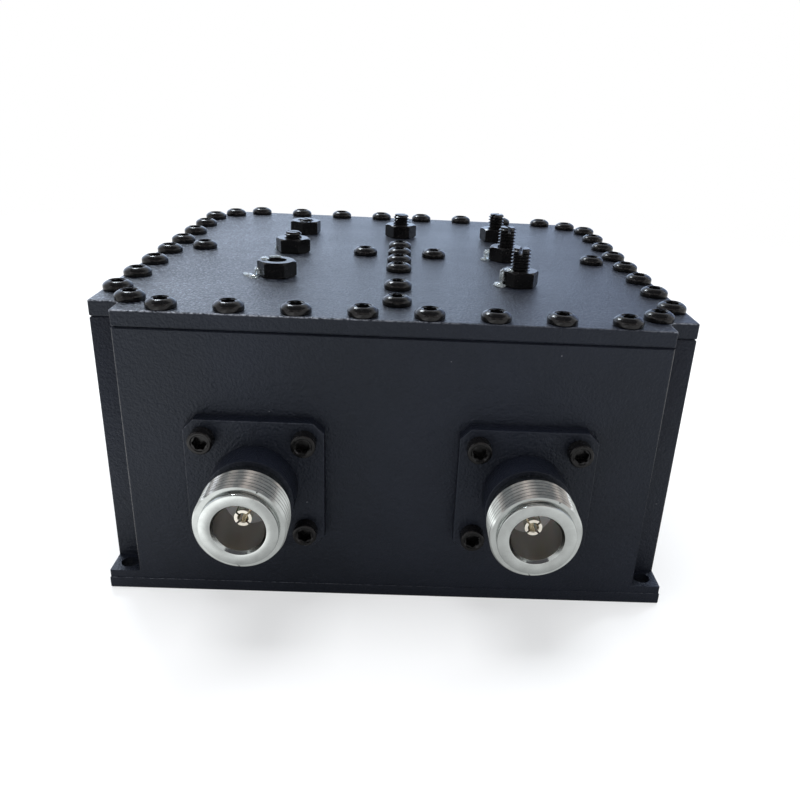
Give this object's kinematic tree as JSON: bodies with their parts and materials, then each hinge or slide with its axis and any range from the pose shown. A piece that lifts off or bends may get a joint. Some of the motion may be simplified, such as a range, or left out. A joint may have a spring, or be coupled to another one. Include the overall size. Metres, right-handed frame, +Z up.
{
  "type": "cavity filter",
  "caption": "Black-painted milled box that filters radio signals between two threaded coaxial ports, with a screwed lid carrying tuning screws and lock nuts.",
  "frame": {"origin": "middle of the four mounting holes, on the underside of the base", "axes": "+X to the right seen from the ports, -Y out of the ports, +Z up through the lid"},
  "size_m": [0.11, 0.1287, 0.0647],
  "materials": {
    "black_paint": "fine-textured satin black paint",
    "black_oxide": "black-oxide steel, slightly worn",
    "nickel_plate": "bright nickel plate",
    "silver_plate": "silver plate on brass",
    "ptfe": "waxy white"
  },
  "bodies": {
    "filter": {"housing": "black_paint", "lid": "black_paint", "edge_screws": "black_oxide", "corner_screws": "black_oxide", "septum_screws": "black_oxide", "window_screws": "black_oxide", "resonator_bolts": "black_oxide", "resonator_front_left": "silver_plate", "resonator_front_right": "silver_plate", "resonator_back_left": "silver_plate", "resonator_back_right": "silver_plate", "lock_nut_front_left": "black_oxide", "lock_nut_front_right": "black_oxide", "lock_nut_back_left": "black_oxide", "lock_nut_back_right": "black_oxide", "lock_nut_left": "black_oxide", "lock_nut_right": "black_oxide", "lock_nut_back": "black_oxide", "port_shell_left": "nickel_plate", "insulator_left": "ptfe", "contact_left": "silver_plate", "flange_screws_left": "black_oxide", "coupling_tap_left": "silver_plate", "port_shell_right": "nickel_plate", "insulator_right": "ptfe", "contact_right": "silver_plate", "flange_screws_right": "black_oxide", "coupling_tap_right": "silver_plate"},
    "tuning_screw_front_left": {"tuning_screw_front_left": "black_oxide"},
    "tuning_screw_front_right": {"tuning_screw_front_right": "black_oxide"},
    "tuning_screw_back_left": {"tuning_screw_back_left": "black_oxide"},
    "tuning_screw_back_right": {"tuning_screw_back_right": "black_oxide"},
    "coupling_screw_left": {"coupling_screw_left": "black_oxide"},
    "coupling_screw_right": {"coupling_screw_right": "black_oxide"},
    "coupling_screw_back": {"coupling_screw_back": "black_oxide"}
  },
  "joints": [
    {"name": "tuning_screw_front_left_travel", "type": "slide", "parent": "filter", "child": "tuning_screw_front_left", "axis": [0, 0, 1], "range_m": [-0.0015, 0.0085]},
    {"name": "tuning_screw_front_right_travel", "type": "slide", "parent": "filter", "child": "tuning_screw_front_right", "axis": [0, 0, 1], "range_m": [-0.0065, 0.0035]},
    {"name": "tuning_screw_back_left_travel", "type": "slide", "parent": "filter", "child": "tuning_screw_back_left", "axis": [0, 0, 1], "range_m": [-0.0024, 0.0076]},
    {"name": "tuning_screw_back_right_travel", "type": "slide", "parent": "filter", "child": "tuning_screw_back_right", "axis": [0, 0, 1], "range_m": [-0.0056, 0.0044]},
    {"name": "coupling_screw_left_travel", "type": "slide", "parent": "filter", "child": "coupling_screw_left", "axis": [0, 0, 1], "range_m": [-0.0034, 0.0066]},
    {"name": "coupling_screw_right_travel", "type": "slide", "parent": "filter", "child": "coupling_screw_right", "axis": [0, 0, 1], "range_m": [-0.0065, 0.0035]},
    {"name": "coupling_screw_back_travel", "type": "slide", "parent": "filter", "child": "coupling_screw_back", "axis": [0, 0, 1], "range_m": [-0.0045, 0.0055]}
  ]
}
